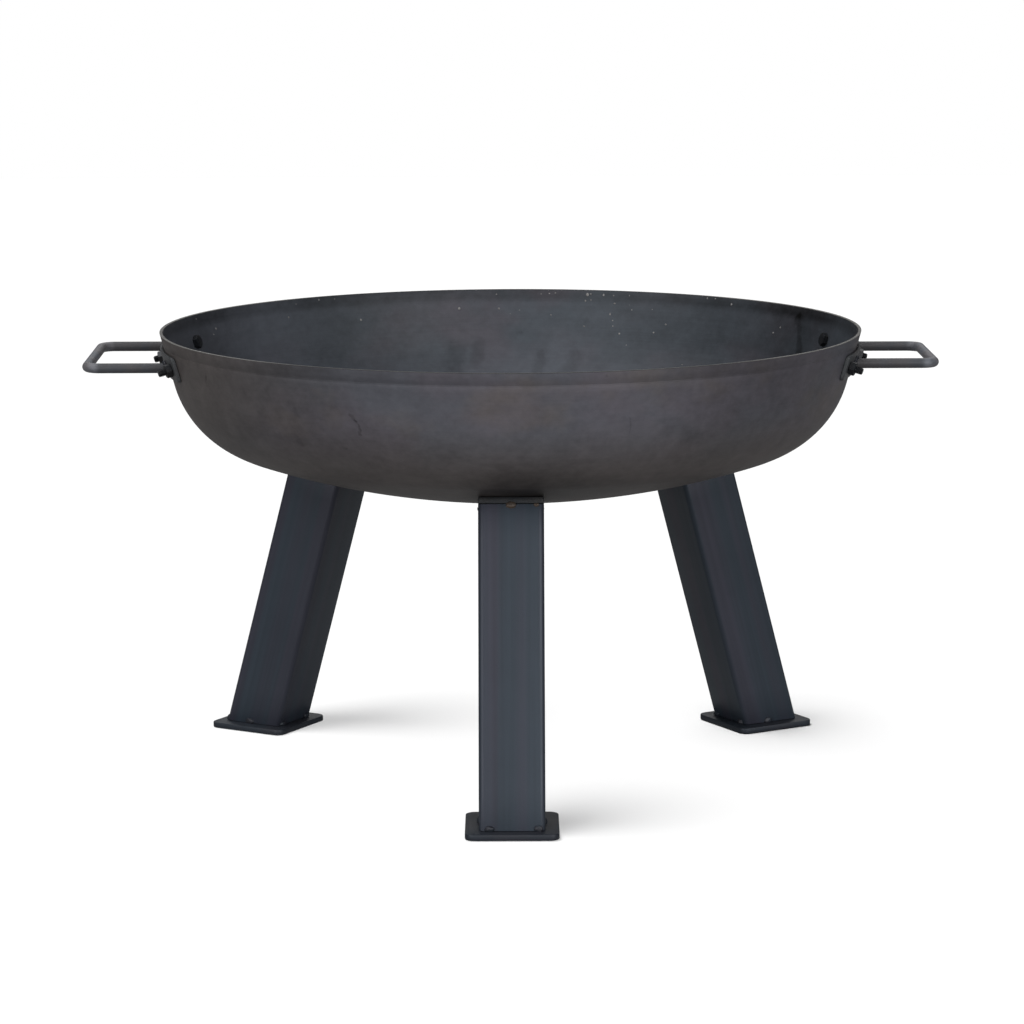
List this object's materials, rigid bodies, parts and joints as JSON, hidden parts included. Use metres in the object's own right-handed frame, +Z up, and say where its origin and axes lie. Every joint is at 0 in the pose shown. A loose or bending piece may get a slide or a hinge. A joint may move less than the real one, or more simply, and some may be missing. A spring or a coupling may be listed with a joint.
{
  "type": "fire bowl",
  "caption": "Round steel fire bowl with a straight tapered wall, on three splayed square-tube legs with flat feet, with a bolted loop handle at each side.",
  "frame": {"origin": "on the floor under the bowl's axis, at the centre of the bounding box's base", "axes": "+Z up along the bowl's axis, +X through the right handle, -Y towards the front leg"},
  "size_m": [0.687, 0.57, 0.358],
  "materials": {
    "bowl_steel": "raw mild steel with dark mill scale, warm grey outside and cooler grey inside, satin, with faint spun rings and smudges",
    "leg_steel": "blue-black raw steel tube and plate, satin, slightly lighter along worn edges",
    "handle_steel": "dark grey hot-rolled bar and strip, satin, lighter on top",
    "fastener_steel": "black oxide steel with bare metal on thread ends and corners"
  },
  "bodies": {
    "root": {"bowl": "bowl_steel", "handle_bracket_right": "handle_steel", "handle_bar_right": "handle_steel", "handle_bolt_right_front": "fastener_steel", "handle_nut_right_front": "fastener_steel", "handle_bolt_right_middle": "fastener_steel", "handle_nut_right_middle": "fastener_steel", "handle_bolt_right_back": "fastener_steel", "handle_nut_right_back": "fastener_steel", "handle_bracket_left": "handle_steel", "handle_bar_left": "handle_steel", "handle_bolt_left_front": "fastener_steel", "handle_nut_left_front": "fastener_steel", "handle_bolt_left_middle": "fastener_steel", "handle_nut_left_middle": "fastener_steel", "handle_bolt_left_back": "fastener_steel", "handle_nut_left_back": "fastener_steel", "leg_tube_front": "leg_steel", "leg_top_plate_front": "leg_steel", "leg_foot_plate_front": "leg_steel", "leg_bolt_front": "fastener_steel", "leg_washer_front": "fastener_steel", "leg_nut_front": "fastener_steel", "leg_tube_back_right": "leg_steel", "leg_top_plate_back_right": "leg_steel", "leg_foot_plate_back_right": "leg_steel", "leg_bolt_back_right": "fastener_steel", "leg_washer_back_right": "fastener_steel", "leg_nut_back_right": "fastener_steel", "leg_tube_back_left": "leg_steel", "leg_top_plate_back_left": "leg_steel", "leg_foot_plate_back_left": "leg_steel", "leg_bolt_back_left": "fastener_steel", "leg_washer_back_left": "fastener_steel", "leg_nut_back_left": "fastener_steel"}
  },
  "joints": []
}
